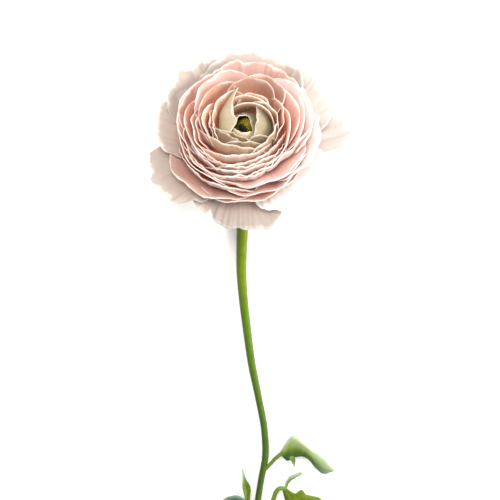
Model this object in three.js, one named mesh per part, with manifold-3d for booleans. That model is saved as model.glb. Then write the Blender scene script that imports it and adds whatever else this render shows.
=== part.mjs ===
// A cut ranunculus: one full double bloom on a slender stem with three small leaves, lying on a table.
// Millimetres, +Z up. The table is the plane z = 0. The stem lies along -Y and the bloom is at +Y: its neck is bent,
// so it rests on its lower outer petals and faces up and away from the stem.

import * as THREE from "three";
import { mergeVertices } from "three/addons/utils/BufferGeometryUtils.js";
import Module from "manifold-3d";

const wasm = await Module();
wasm.setup();

const { degToRad, clamp, lerp, smoothstep } = THREE.MathUtils;

// Driving dimensions
const ORIGIN = new THREE.Vector2(1.8, -88.2); // the middle of the whole flower, which becomes the part's origin
const AXIS_TILT = 50; // degrees of the bloom's axis above the table
const BASE_HEIGHT = 11; // of the bloom's base, where stem and petals meet, over the table
const CUP_RADIUS = 4; // of the innermost petals' rim, round the eye
const CUP_HEIGHT = 25; // of that rim over the base
const SPREAD = 37.6; // from the innermost rim out to the outermost
const DOME = 0.0065; // how fast the rims fall away from the eye, as a share of their radius squared
const GOLDEN_ANGLE = 137.5; // degrees from one carpel to the next
const PETAL_THICKNESS = 0.6;
const HEAD_SEAT = 14.8; // height over the base at which the carpel head sits
const CALYX_DEPTH = 2.4; // from the base down to the calyx's underside, where the stem joins
const SEAT_GAP = 0.3; // between two pieces where one sits on the other
const STEM_SIDES = 12;
const NECK_BEND = 17; // radius in which the neck bends down to the table
const STEM_RADII = [2.9, 2.75, 2.4, 2.05, 1.85, 1.65, 1.6, 1.5, 1.5, 1.5]; // evenly spaced along the stem

// Azimuths go round the bloom's axis: 0 is at +X, 90 is the side that lies on the table, 270 is the upper side.
// A petal's row gives its azimuth and half its width in degrees, the radius of its rim at its first end, in its
// middle and at its other end, the rim's slope in degrees (90 is upright, below 0 droops), and how far that rim
// stands above the dome of all rims.
const HEART_PETALS = [
  [20, 85, 4, 2.3, 3.4, 140, -1.5],
  [250, 72, 4.6, 4.4, 4.4, 130, -1.5],
  [140, 70, 3.4, 3.9, 4.6, 128, -1],
  [355, 80, 8, 4.8, 7.6, 132, -0.5],
  [150, 56, 17, 7.2, 5.4, 145, 0],
  [238, 60, 11.5, 8.1, 10.2, 124, 0],
  [240, 68, 20.3, 12.2, 13, 116, -0.4],
  [60, 92, 12, 9.1, 8.5, 100, 0],
  [78, 52, 11.2, 12.5, 12.2, 88, 0],
  [142, 48, 18.6, 15.2, 13.2, 78, 0],
  [322, 52, 14, 12.6, 13, 100, 0],
  [12, 44, 13.5, 15.6, 19, 84, 0],
];
const MIDDLE_PETALS = [
  [175, 38, 17.6, 16.4, 15.9, 92, 0.8],
  [69, 46, 14.5, 25.3, 14.5, 52, 0.5],
  [150, 62, 23.6, 21.2, 16.6, 72, 0],
  [190, 44, 23.4, 21.5, 21.5, 78, 0],
  [130, 46, 31, 27, 20.3, 58, 0],
  [22, 46, 20.8, 22.8, 25.5, 68, 0],
  [345, 58, 20.8, 18, 17.5, 88, 0.3],
  [258, 68, 21.8, 15.5, 12.3, 104, -0.6],
  [300, 58, 18.3, 16.1, 15.8, 100, -0.8],
  [235, 54, 24.2, 20, 16.5, 98, -1.2],
  [276, 52, 23.9, 20, 18, 95, -1.3],
  [248, 62, 27, 23.9, 19, 96, -2.2],
];
const OUTER_PETALS = [
  [190, 54, 27.6, 23.8, 20.8, 74, 0],
  [210, 42, 25, 26.2, 26.2, 80, -0.6],
  [334, 40, 20.9, 21.8, 29.5, 98, 0],
  [5, 52, 19.5, 24.2, 28.5, 66, 0],
  [140, 46, 30.4, 30.4, 27.3, 60, 0],
  [234, 44, 29.8, 27.5, 27.3, 94, -3.2],
  [305, 50, 26.3, 24.5, 26.2, 58, -2.4],
  [288, 52, 27.9, 28.8, 27.2, 56, -4.5],
  [232, 50, 34.8, 33.3, 28.3, 50, -5],
  [282, 54, 32.6, 30.5, 27, 58, -5.5],
  [24, 50, 26.5, 28.5, 30.5, 60, 0.5],
  [80, 54, 30, 32, 31.5, 56, 1.5],
  [345, 44, 29, 30.5, 31.5, 58, -1],
];

// The loose guard petals outside them: azimuth, half width, three rim radii, the rim's height over the base, its
// slope, and how close to the table the petal may come.
const GUARD_PETALS = [
  [82, 48, 36.5, 37.2, 38.5, 18.5, 58, 2.7],
  [130, 36, 38.5, 38.3, 39, 16.5, 45, 1.8],
  [43, 35, 40, 40.3, 38.5, 15, 42, 0.9],
  [318, 40, 37.5, 38, 36.5, 8.5, 15, 1.8],
  [160, 40, 38.5, 40, 37.5, 13.5, 30, 0.9],
  [112, 30, 35, 35, 35, 13.5, 55, 0],
  [9, 16, 41.5, 43, 37, 9, 35, 1.8],
  [208, 32, 41, 42, 38.5, 6.5, 10, 1.8],
  [271, 31, 36.5, 39.5, 37, 2, -18, 1.8],
  [246, 27, 36.8, 35.5, 37, 3.5, 0, 1.8],
];
const FLOORS = [9, 3.6]; // how close to the table the first and the last petal inside the guard petals may come

// The stem's course on the table, in (x, y), from where it comes down from the bloom to its cut end.
const STEM_COURSE = [
  [-2.2, -53],
  [-1.8, -65],
  [0, -83],
  [2.6, -103],
  [6, -121],
  [8.5, -136],
  [8.9, -150],
  [7.2, -161],
  [5.5, -173],
  [3.6, -191],
  [2.6, -217],
];

// The leaves' lobes, each as three lines of points from root to tip: an edge, the midrib and the other edge. Then
// the points of each leaf's stalk, from inside the stem to inside the lobes.
const UPPER_LEAF = [
  {
    edge: [16.1, -145.9, 4.2, 22, -137.2, 5.2, 27.2, -141.2, 4.6, 30.5, -144.8, 3.6, 36.5, -150.4, 2, 41.9, -157.3, 0.8],
    rib: [16.3, -145.7, 5.2, 21.5, -136.3, 9, 26.6, -140.3, 8, 30.1, -143.8, 7, 36.2, -149.6, 4.5, 41.7, -157.1, 1.5],
    otherEdge: [16.5, -147.6, 4.4, 19.4, -151.1, 3, 24.4, -148.4, 4, 28.3, -149.1, 4, 33.2, -155.4, 2.2, 36.9, -159, 1, 41.4, -157.8, 1],
  },
  {
    edge: [20, -148.2, 4.2, 21.3, -151.5, 3, 22.8, -154.9, 2],
    rib: [21.2, -147.9, 4.8, 22.1, -151.2, 3.5, 22.9, -154.9, 2.1],
    otherEdge: [22.6, -147.6, 4.4, 23.1, -151, 3.2, 23.1, -154.8, 2],
  },
];
const UPPER_STALK = [8.9, -156.4, 1.7, 11.6, -152.6, 3, 14, -149.2, 4, 18, -145, 5.6];
const RIGHT_LEAF = [
  {
    edge: [17.9, -165, 4.2, 18.7, -161.6, 4.6, 20.6, -158.6, 4.8, 26.3, -156.8, 3.2],
    rib: [18.4, -165.4, 4, 19.5, -161.5, 4.5, 21.1, -159.6, 4.5, 26.5, -157.4, 3],
    otherEdge: [19, -165.6, 3.8, 20.3, -162, 4.2, 21.6, -160.6, 4.2, 26.8, -158.2, 2.8],
  },
  {
    edge: [18.6, -165, 3.9, 23.2, -167.6, 4.6, 26.3, -165.9, 4.4, 28.6, -168.6, 4, 35.4, -171.4, 2.6, 37.8, -177, 1.4, 36, -181, 1],
    rib: [18, -165.7, 4, 23.7, -171.4, 4.8, 29.6, -176.2, 3.8, 35.6, -181, 1.6],
    otherEdge: [17.4, -166.4, 3.9, 19.3, -173.6, 3.6, 22.5, -179.6, 2.6, 25.8, -178.5, 2.4, 29.5, -184.4, 1.2, 34, -183.6, 0.9, 35.4, -181.3, 1],
  },
];
const RIGHT_STALK = [3.4, -195, 1.5, 7.5, -187, 1.7, 10.9, -179, 2.2, 12.7, -172.2, 3, 14, -167.6, 3.6, 15.8, -165.3, 4, 18.8, -165.6, 4];
const LEFT_LEAF = [
  {
    edge: [-0.6, -179, 2.4, -0.9, -171.3, 2.9, -2, -165.4, 3.2, -2, -160.4, 3.3, -2.3, -155.7, 3],
    rib: [0.4, -179, 2, 0.4, -171.2, 2.4, 0, -165.5, 2.6, -1.2, -160.2, 2.9, -1.9, -155.6, 2.8],
    otherEdge: [1.4, -179, 2.4, 1.6, -171, 2.9, 1.9, -165.6, 3.2, -0.4, -160, 3.3, -1.5, -155.6, 3],
  },
  {
    edge: [1.4, -179.5, 2.6, -0.6, -171.6, 3.4, -6, -169.2, 3.8, -11, -171.8, 2.8, -14.5, -177, 1.4],
    rib: [0.8, -180.6, 2.3, -3, -177.5, 3.2, -7.5, -176.6, 3.2, -14.8, -178.2, 1.2],
    otherEdge: [0, -181.6, 2.2, -3.4, -184.4, 2.4, -8, -185.6, 1.6, -11.6, -183.4, 1.2, -14.5, -179.4, 1],
  },
];
const LEFT_STALK = [3.4, -194, 1.5, 0.6, -187.5, 1.7, 0.4, -182, 2, 0.4, -177.5, 2.4];

// The bloom's own frame: its axis, its right and the side that turns to the table.
const tilt = degToRad(AXIS_TILT);
const BASE = new THREE.Vector3(0, 0, BASE_HEIGHT);
const AXIS = new THREE.Vector3(0, Math.cos(tilt), Math.sin(tilt));
const RIGHT = new THREE.Vector3(1, 0, 0);
const DOWNHILL = new THREE.Vector3(0, Math.sin(tilt), -Math.cos(tilt));

function bloomPoint(radius, azimuth, height) {
  return BASE.clone()
    .addScaledVector(RIGHT, radius * Math.cos(azimuth))
    .addScaledVector(DOWNHILL, radius * Math.sin(azimuth))
    .addScaledVector(AXIS, height);
}

// Solids

function solidOf(geometry) {
  const bare = new THREE.BufferGeometry();
  bare.setAttribute("position", geometry.getAttribute("position"));
  bare.setIndex(geometry.index);
  const merged = mergeVertices(bare, 1e-4);
  return new wasm.Manifold(
    new wasm.Mesh({
      numProp: 3,
      vertProperties: merged.attributes.position.array,
      triVerts: new Uint32Array(merged.index.array),
    }),
  );
}

// Joins solids into one body. A hollow that this would seal is filled.
function fuse(solids) {
  return outermost(solids.reduce((a, b) => a.add(b)));
}

function outermost(solid) {
  return solid.decompose().sort((a, b) => b.volume() - a.volume())[0];
}

function geometryOf(solid) {
  const mesh = solid.getMesh();
  const geometry = new THREE.BufferGeometry();
  geometry.setAttribute("position", new THREE.BufferAttribute(new Float32Array(mesh.vertProperties), 3));
  geometry.setIndex(new THREE.BufferAttribute(new Uint32Array(mesh.triVerts), 1));
  geometry.computeVertexNormals();
  return geometry;
}

// A closed thin blade. place(across, along) is a point of its middle surface, with across from -1 to 1 and along
// from 0 at the root to 1 at the rim. Both faces are split into triangles alike. settle(point, side) may move a
// finished point, such as one that would sink into the table; side is 1 on the face that place's normal leaves.
function blade(columns, rows, place, settle = (point) => point) {
  const step = 0.01;
  const vertices = [];
  for (const side of [-1, 1])
    for (const along of rows)
      for (let column = 0; column <= columns; column++) {
        const across = (2 * column) / columns - 1;
        const alongEdge = place(across, along + step).sub(place(across, along - step));
        const acrossEdge = place(across + step, along).sub(place(across - step, along));
        const normal = acrossEdge.cross(alongEdge).normalize();
        const point = place(across, along).addScaledVector(normal, (side * PETAL_THICKNESS) / 2);
        vertices.push(...settle(point, side).toArray());
      }
  const width = columns + 1;
  const layer = width * rows.length;
  const faces = [];
  const quad = (a, b, c, d) => faces.push(a, b, c, a, c, d);
  for (let row = 0; row < rows.length - 1; row++)
    for (let column = 0; column < columns; column++) {
      const a = row * width + column;
      const [b, c, d] = [a + 1, a + 1 + width, a + width];
      quad(layer + a, layer + b, layer + c, layer + d);
      faces.push(a, c, b, a, d, c);
    }
  const last = (rows.length - 1) * width;
  for (let column = 0; column < columns; column++) {
    quad(column, column + 1, layer + column + 1, layer + column);
    quad(last + column + 1, last + column, layer + last + column, layer + last + column + 1);
  }
  for (let row = 0; row < rows.length - 1; row++) {
    const [low, high] = [row * width, (row + 1) * width];
    quad(high, low, layer + low, layer + high);
    quad(low + columns, high + columns, layer + high + columns, layer + low + columns);
  }
  const geometry = new THREE.BufferGeometry();
  geometry.setAttribute("position", new THREE.BufferAttribute(new Float32Array(vertices), 3));
  geometry.setIndex(faces);
  return solidOf(geometry);
}

// Keeps a petal's outer face, the one turned to the table, at least floor above it, and its inner face one
// thickness more.
const aboveTable = (floor) => (point, side) => {
  point.z = Math.max(point.z, floor + (side < 0 ? PETAL_THICKNESS : 0));
  return point;
};

// A round rod along a curve, closed at both ends, with one of its flat sides facing down. radiusAt(share) is its
// radius at a share of its length.
function rod(curve, sides, steps, radiusAt, floor = 0) {
  const geometry = new THREE.CylinderGeometry(1, 1, 1, sides, steps);
  geometry.rotateY(Math.PI / sides);
  const position = geometry.getAttribute("position");
  const up = new THREE.Vector3(0, 0, 1);
  for (let i = 0; i < position.count; i++) {
    const share = clamp(0.5 - position.getY(i), 0, 1);
    const radius = radiusAt(share);
    const along = curve.getTangentAt(share);
    const side = along.clone().cross(up).normalize();
    const rise = side.clone().cross(along);
    const point = curve
      .getPointAt(share)
      .addScaledVector(side, -radius * position.getX(i))
      .addScaledVector(rise, radius * position.getZ(i));
    position.setXYZ(i, point.x, point.y, Math.max(point.z, floor));
  }
  return solidOf(geometry);
}

// Sets a shape that was turned about +Y into the bloom's frame.
function bloomSolid(geometry) {
  const frame = new THREE.Matrix4().makeBasis(RIGHT, AXIS, DOWNHILL.clone().negate()).setPosition(BASE);
  return solidOf(geometry.applyMatrix4(frame));
}

function turned(outline, sides) {
  const points = outline.map(([radius, height]) => new THREE.Vector2(radius, height));
  return bloomSolid(new THREE.LatheGeometry(points, sides));
}

// Petals

const rankOf = (radius) => clamp((radius - CUP_RADIUS) / SPREAD, 0, 1); // 0 is innermost and 1 outermost
const rimHeight = (radius) => CUP_HEIGHT - DOME * radius ** 2;

// The smooth curve that has the values low, middle and high at u = -1, 0 and 1.
const through = ([low, middle, high], u) => middle + ((high - low) / 2) * u + ((high + low) / 2 - middle) * u * u;

const heading = (degrees, length) =>
  new THREE.Vector2(Math.cos(degToRad(degrees)), Math.sin(degToRad(degrees))).multiplyScalar(length);

// The line from a petal's root on the receptacle to the middle of its rim, in (radius, height).
function petalProfile(rank, rim) {
  const root = new THREE.Vector2(2 + 3 * rank, 8 * (1 - rank));
  const chord = root.distanceTo(rim.point);
  const first = root.clone().add(heading(35 - 18 * rank, lerp(0.68, 0.46, rank) * chord));
  const second = rim.point.clone().sub(heading(rim.slope, lerp(0.5, 0.35, rank) * chord));
  return new THREE.CubicBezierCurve(root, first, second, rim.point);
}

function petal(i, { azimuth, turn, rims, slope, lift, roundOff, floor, columns, rows }) {
  const rank = rankOf(rims[1]);
  const ruffle = 0.15 + 0.5 * rank;
  const place = (across, along) => {
    const radius = through(rims, across) + ruffle * Math.cos(Math.PI * (columns / 2) * (across + 1) + i);
    const profile = petalProfile(rank, { point: new THREE.Vector2(radius, rimHeight(radius) + lift), slope });
    const point = profile.getPoint(along * (1 - roundOff * Math.abs(across) ** 4));
    const spread = turn * (0.3 + 0.7 * smoothstep(along, 0, 0.45));
    return bloomPoint(point.x, degToRad(azimuth + across * spread), point.y);
  };
  return blade(columns, rows, place, aboveTable(floor));
}

function innerPetals() {
  const all = [...HEART_PETALS, ...MIDDLE_PETALS, ...OUTER_PETALS];
  return all.map(([azimuth, turn, low, middle, high, slope, lift], i) =>
    petal(i, {
      azimuth,
      turn,
      rims: [low, middle, high],
      slope,
      lift,
      roundOff: 0.2,
      floor: lerp(FLOORS[0], FLOORS[1], i / (all.length - 1)),
      columns: turn > 60 ? 7 : 5,
      rows: rankOf(middle) < 0.5 ? [lerp(0.4, 0.6, 2 * rankOf(middle)), 0.82, 1] : [0.5, 0.78, 1],
    }),
  );
}

function guardPetals() {
  return GUARD_PETALS.map(([azimuth, turn, low, middle, high, height, slope, floor], j) =>
    petal(60 + j, {
      azimuth,
      turn,
      rims: [low, middle, high],
      slope,
      lift: height - rimHeight(middle),
      roundOff: 0.28,
      floor,
      columns: 8,
      rows: [0.32, 0.56, 0.8, 1],
    }),
  );
}

// The swollen receptacle that all petals grow from. It is hidden between them.
const receptacle = () =>
  turned(
    [
      [0, 0],
      [8, 0],
      [15, 2],
      [19.5, 6],
      [21, 11],
      [20, 14.5],
      [15, 17.3],
      [9.6, 17],
      [6.2, HEAD_SEAT],
      [0, HEAD_SEAT],
    ],
    20,
  );

// The eye: a dome set with the blunt tips of the carpels.
function carpelHead() {
  const rise = HEAD_SEAT + SEAT_GAP;
  const dome = turned(
    [
      [0, rise],
      [4.6, rise],
      [5, rise + 1.5],
      [4.4, rise + 3.6],
      [2.8, rise + 5.2],
      [0, rise + 5.8],
    ],
    12,
  );
  const tips = Array.from({ length: 14 }, (_, i) => {
    const lean = degToRad(8 + 4.6 * i);
    const cone = new THREE.ConeGeometry(0.75, 1.8, 5);
    cone.translate(0, 4.9, 0).rotateZ(-lean).rotateY(degToRad(GOLDEN_ANGLE * i));
    return bloomSolid(cone.translate(0, rise + 0.6, 0));
  });
  return fuse([dome, ...tips]);
}

// The calyx: a small plate under the petals with five pointed sepals.
function calyx() {
  const plate = turned(
    [
      [0, -CALYX_DEPTH],
      [3.4, -CALYX_DEPTH],
      [5.2, -1.6],
      [5.4, -SEAT_GAP],
      [0, -SEAT_GAP],
    ],
    15,
  );
  const sepals = Array.from({ length: 5 }, (_, i) => {
    const azimuth = degToRad(18 + 72 * i);
    const place = (across, along) => {
      const width = 4.1 * Math.sqrt(Math.sin(Math.PI * (0.2 + 0.78 * along)));
      const reach = 3.5 + 10.5 * along - 0.8 * across ** 2;
      const height = -1.3 - 1.2 * along ** 2 + 0.5 * across ** 2;
      return bloomPoint(reach, azimuth + (across * width) / Math.max(reach, 5), height);
    };
    return blade(4, [0, 0.3, 0.6, 0.85, 1], place, aboveTable(0.4));
  });
  return fuse([plate, ...sepals]);
}

// The stem: straight out of the calyx, round the neck's bend, and along its course on the table.
const PRESS = 0.05; // how far the stem's underside is pressed flat on the table
const LYING_FROM = 0.16; // share of the stem's length at which its course on the table begins
const facetDepth = Math.cos(Math.PI / STEM_SIDES);

function stemRadius(share) {
  const spot = share * (STEM_RADII.length - 1);
  const low = Math.min(Math.floor(spot), STEM_RADII.length - 2);
  return lerp(STEM_RADII[low], STEM_RADII[low + 1], spot - low);
}

function stemLine() {
  const top = bloomPoint(0, 0, -CALYX_DEPTH - SEAT_GAP);
  const lying = stemRadius(LYING_FROM / 2) * facetDepth - PRESS;
  const straight = (top.z - lying - NECK_BEND * (1 - Math.cos(tilt))) / Math.sin(tilt);
  const points = [top, top.clone().addScaledVector(AXIS, -straight / 2)];
  const bend = top.clone().addScaledVector(AXIS, -straight);
  for (const share of [0, 0.25, 0.5, 0.75, 1]) {
    const angle = tilt * (1 - share);
    const run = NECK_BEND * (Math.sin(tilt) - Math.sin(angle));
    const drop = NECK_BEND * (Math.cos(angle) - Math.cos(tilt));
    points.push(new THREE.Vector3(-0.66 * share, bend.y - run, bend.z - drop));
  }
  STEM_COURSE.forEach(([x, y], i) => {
    const radius = stemRadius(lerp(LYING_FROM, 1, i / (STEM_COURSE.length - 1)));
    points.push(new THREE.Vector3(x, y, radius * facetDepth - PRESS));
  });
  return new THREE.CatmullRomCurve3(points, false, "centripetal");
}

// Leaves

function lineThrough(numbers) {
  const points = [];
  for (let i = 0; i < numbers.length; i += 3) points.push(new THREE.Vector3(...numbers.slice(i, i + 3)));
  return new THREE.CatmullRomCurve3(points, false, "centripetal");
}

function lobe({ edge, rib, otherEdge }) {
  const [first, middle, second] = [edge, rib, otherEdge].map(lineThrough);
  const rowCount = 2 * first.points.length;
  const rows = Array.from({ length: rowCount + 1 }, (_, i) => i / rowCount);
  const place = (across, along) => {
    const share = clamp(along, 0, 1);
    const side = across < 0 ? first : second;
    return middle.getPoint(share).lerp(side.getPoint(share), Math.abs(across));
  };
  return blade(4, rows, place);
}

// A leaf: its lobes on its stalk, cut back where the stem runs.
function leaf(lobes, stalk, stalkRadius, seat) {
  const stalkRod = rod(lineThrough(stalk), 8, 10, () => stalkRadius);
  return outermost(fuse([stalkRod, ...lobes.map(lobe)]).subtract(seat));
}

const flower = new THREE.Group();

function addMesh(name, solid, color, roughness) {
  const material = new THREE.MeshStandardMaterial({ color, roughness, metalness: 0 });
  const mesh = new THREE.Mesh(geometryOf(solid), material);
  mesh.name = name;
  mesh.geometry.translate(-ORIGIN.x, -ORIGIN.y, 0);
  flower.add(mesh);
}

const line = stemLine();
const stemSeat = rod(line, STEM_SIDES, 44, (share) => stemRadius(share) + SEAT_GAP, -1);

addMesh("bloom_petals", fuse([receptacle(), ...innerPetals(), ...guardPetals()]), 0xf0d3c8, 0.6);
addMesh("carpel_head", carpelHead(), 0x7f8238, 0.7);
addMesh("calyx", calyx(), 0x8fa84a, 0.6);
addMesh("stem", rod(line, STEM_SIDES, 44, stemRadius), 0x7f9f3f, 0.5);
addMesh("leaf_upper", leaf(UPPER_LEAF, UPPER_STALK, 0.95, stemSeat), 0xa3bd8d, 0.6);
addMesh("leaf_lower_right", leaf(RIGHT_LEAF, RIGHT_STALK, 1.1, stemSeat), 0x8ba32a, 0.6);
addMesh("leaf_lower_left", leaf(LEFT_LEAF, LEFT_STALK, 1, stemSeat), 0x4f7a5a, 0.6);

export default flower;
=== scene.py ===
# %% [markdown]
# # A cut ranunculus, dressed petal by petal
# The solid model gives the flower's size, its pose on the table and the course of every petal, leaf and
# stalk. This lesson builds a finer skin for each of those solids: thin crinkled petals, a ribbed stem,
# veined leaves and the little green eye, each with a material made from nodes. We start by loading the
# solids as a fixed frame.

# %% Load the frame
import math

import bmesh
import bpy
from mathutils import Matrix, Vector, noise


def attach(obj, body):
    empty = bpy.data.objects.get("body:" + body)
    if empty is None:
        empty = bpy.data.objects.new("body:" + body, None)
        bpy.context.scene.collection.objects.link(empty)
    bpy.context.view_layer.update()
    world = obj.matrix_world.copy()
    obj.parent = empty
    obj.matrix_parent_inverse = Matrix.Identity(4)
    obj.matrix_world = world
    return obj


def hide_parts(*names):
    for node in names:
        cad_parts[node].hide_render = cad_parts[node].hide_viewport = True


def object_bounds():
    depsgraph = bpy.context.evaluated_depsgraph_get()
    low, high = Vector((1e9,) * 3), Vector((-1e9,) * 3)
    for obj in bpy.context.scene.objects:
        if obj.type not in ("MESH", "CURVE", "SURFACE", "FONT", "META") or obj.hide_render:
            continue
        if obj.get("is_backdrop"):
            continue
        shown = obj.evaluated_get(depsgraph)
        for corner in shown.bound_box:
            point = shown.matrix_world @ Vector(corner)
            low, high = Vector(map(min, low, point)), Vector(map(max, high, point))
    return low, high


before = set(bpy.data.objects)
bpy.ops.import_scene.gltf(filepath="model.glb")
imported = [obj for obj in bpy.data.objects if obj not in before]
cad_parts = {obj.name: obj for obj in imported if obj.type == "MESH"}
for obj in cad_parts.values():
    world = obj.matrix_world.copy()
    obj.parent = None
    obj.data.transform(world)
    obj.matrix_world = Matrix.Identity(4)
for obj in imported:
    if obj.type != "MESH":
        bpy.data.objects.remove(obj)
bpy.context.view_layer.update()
print("solids:", sorted(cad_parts))

# %% [markdown]
# ## Helpers for numbers
# Shapes are worked out in millimetres with the bloom's base over the origin, as a florist would measure
# them, and each finished mesh is then scaled to metres and moved to the middle of the whole flower. Small
# helpers are enough for the shaping: a straight mix of two values, a limit, a soft step from 0 to 1, and a
# fixed scatter.

# %% Number helpers
MIDDLE = Vector((1.8, -88.2, 0))  # mm, the middle of the whole flower
TO_FRAME = Matrix.Scale(0.001, 4) @ Matrix.Translation(-MIDDLE)


def mix(a, b, share):
    return a + (b - a) * share


def clamp(x, low=0.0, high=1.0):
    return max(low, min(high, x))


def soft_step(x, low=0.0, high=1.0):
    t = clamp((x - low) / (high - low))
    return t * t * (3 - 2 * t)


def vary(i, k):
    """A fixed number from -1 to 1 for piece i and trait k, so that no two petals are alike."""
    x = math.sin(i * 12.9898 + k * 78.233) * 43758.5453
    return 2 * (x - math.floor(x)) - 1


print("scatter of pieces 1 to 3:", [round(vary(i, 0), 2) for i in (1, 2, 3)])

# %% [markdown]
# ## The bloom's own frame
# The neck of the stem is bent, so the bloom leans back on its lower petals and looks up at 50 degrees. A
# point of the bloom is given the way a turner would give it: how far from the axis, which way round it, and
# how high along it. Azimuth 0 is to the right, 90 is the side that rests on the table and 270 is the upper
# side.

# %% Bloom frame
TILT = math.radians(50)  # of the bloom's axis above the table
BASE = Vector((0, 0, 11))  # where stem and petals meet
AXIS = Vector((0, math.cos(TILT), math.sin(TILT)))
RIGHT = Vector((1, 0, 0))
DOWNHILL = Vector((0, math.sin(TILT), -math.cos(TILT)))
TO_BLOOM = Matrix.Translation(BASE) @ Matrix((RIGHT, DOWNHILL, AXIS)).transposed().to_4x4()


def bloom_point(radius, azimuth, height):
    return TO_BLOOM @ Vector((radius * math.cos(azimuth), radius * math.sin(azimuth), height))


print("20 mm up the bloom's axis in mm:", [round(x, 1) for x in bloom_point(0, 0, 20)])

# %% [markdown]
# ## Adding shader nodes
# Every material below is a small tree of nodes. One function adds a node, sets its properties and either
# fills or links its inputs, so a tree reads like a list of sentences. Colours are written as the hex values
# a painter would pick from a screen, and one function turns them into the linear light that the renderer
# works in.

# %% Node helper
def linear(code):
    """A colour such as #F2D9CF as linear red, green, blue and alpha."""
    parts = [int(code[i : i + 2], 16) / 255 for i in (1, 3, 5)]
    return [p / 12.92 if p <= 0.04045 else ((p + 0.055) / 1.055) ** 2.4 for p in parts] + [1.0]


def add(tree, kind, inputs=None, stops=None, **settings):
    """Adds a node. An input given as a socket is linked, any other is set. stops fill a colour ramp."""
    node = tree.nodes.new("ShaderNode" + kind)
    for name, value in settings.items():
        setattr(node, name, value)
    for name, value in (inputs or {}).items():
        if isinstance(value, bpy.types.NodeSocket):
            tree.links.new(value, node.inputs[name])
        else:
            node.inputs[name].default_value = value
    for i, (spot, code) in enumerate(stops or []):
        element = node.color_ramp.elements[i] if i < 2 else node.color_ramp.elements.new(spot)
        element.position = spot
        element.color = linear(code)
    return node


def new_material(name):
    """A named material with its node tree and its Principled shader."""
    material = bpy.data.materials.new(name)
    material.use_nodes = True
    return material, material.node_tree, material.node_tree.nodes["Principled BSDF"]


print("mid grey in linear light:", round(linear("#808080")[0], 3))

# %% [markdown]
# ## Sheets and tubes from one grid
# A petal, a leaf and a stem are all one idea: a flat grid laid somewhere in space. The grid operator makes
# the faces, and a placing rule then moves each corner from its flat spot to its real one. Before moving
# them we note where each corner was, as a UV map in millimetres and as a few plain values that the
# materials read later.

# %% Laid grid
VALUES = ("rank", "rise", "across", "tone")


def new_sheet():
    bm = bmesh.new()
    bm.loops.layers.uv.new("sheet")
    for name in VALUES:
        bm.verts.layers.float.new(name)
    return bm


def lay_grid(bm, columns, rows, place, size=(1, 1), shift=0.0, start=0.0, ease=1.0, **values):
    """Adds a grid and lays it by place(across, along): across runs from -1 to 1 and along from start to 1.
    size is the sheet's rough width and length in mm, for its UV map, and shift moves that map sideways, so
    that each sheet has a pattern of its own. ease under 1 crowds the rows at the end."""
    verts = bmesh.ops.create_grid(bm, x_segments=columns, y_segments=rows, size=1)["verts"]
    uv = bm.loops.layers.uv["sheet"]
    layers = {name: bm.verts.layers.float[name] for name in VALUES}
    for vert in verts:
        vert[layers["across"]] = vert.co.x
        vert[layers["rise"]] = mix(start, 1, ((vert.co.y + 1) / 2) ** ease)
        for name, value in values.items():
            vert[layers[name]] = value
    faces = {face for vert in verts for face in vert.link_faces}
    for face in faces:
        for loop in face.loops:
            vert = loop.vert
            loop[uv].uv = (vert[layers["across"]] * size[0] / 2 + shift, vert[layers["rise"]] * size[1])
    for vert in verts:
        vert.co = place(vert[layers["across"]], vert[layers["rise"]])
    return verts, faces


def finish_piece(bm, name, slot, materials, replaces=(), thickness=0.0):
    """Turns a bmesh in mm into a finished, smooth piece in the frame. thickness in mm gives a sheet its two
    sides, and three materials are then those of its back, its face and its rim."""
    bm.transform(TO_FRAME)
    for face in bm.faces:
        face.smooth = True
    mesh = bpy.data.meshes.new(name)
    bm.to_mesh(mesh)
    bm.free()
    piece = bpy.data.objects.new(name, mesh)
    bpy.context.scene.collection.objects.link(piece)
    for material in materials:
        mesh.materials.append(material)
    if thickness:
        wall = piece.modifiers.new("wall", "SOLIDIFY")
        wall.thickness = thickness / 1000
        wall.offset = 0
        if len(materials) == 3:
            wall.material_offset = 1
            wall.material_offset_rim = 2
    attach(piece, "root")
    if replaces:
        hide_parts(*replaces)
    print(f"{name}: {len(mesh.polygons)} faces before its thickness")


print("values kept at each corner:", VALUES)

# %% [markdown]
# ## How a petal runs
# A ranunculus holds over a hundred petals packed like the leaves of a book. Seen from the side, each one
# starts on the swollen receptacle, swings out and bends in again over the eye, so one cubic curve in radius
# and height says almost everything. Its rank, from 0 at the eye to 1 at the outside, sets how wide it is
# and how open it stands. A petal that leans far in over the eye is given a wider swing, so that a broad
# slope of its back shows.

# %% Petal line
CUP_RADIUS = 4.0  # mm, of the innermost rim round the eye
CUP_HEIGHT = 25.0  # mm, of that rim over the base
SPREAD = 37.6  # mm, from the innermost rim to the outermost
DOME = 0.0065  # how fast the rims fall away from the eye
LEANING = (125, 160)  # degrees of a rim's slope between which the swing widens
WIDER = 0.5  # share by which it widens in the end
# Where two values stand together below, they are those of the innermost and the outermost petals.
ROOT_RADII = (2, 5)  # mm from the axis, where petals start
ROOT_HEIGHT = 8  # mm over the base, where the innermost start; the outermost start at the base
ROOT_SLOPES = (35, 17)  # degrees that a petal climbs at first
ROOT_PULL = (0.68, 0.46)  # how far it keeps to that slope, as a share of the way from root to rim
RIM_PULL = (0.5, 0.35)  # how far back the slope of its rim is felt, likewise


def rank_of(radius):
    return clamp((radius - CUP_RADIUS) / SPREAD)


def rim_height(radius):
    return CUP_HEIGHT - DOME * radius**2


def heading(degrees, length):
    return Vector((math.cos(math.radians(degrees)), math.sin(math.radians(degrees)))) * length


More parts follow.
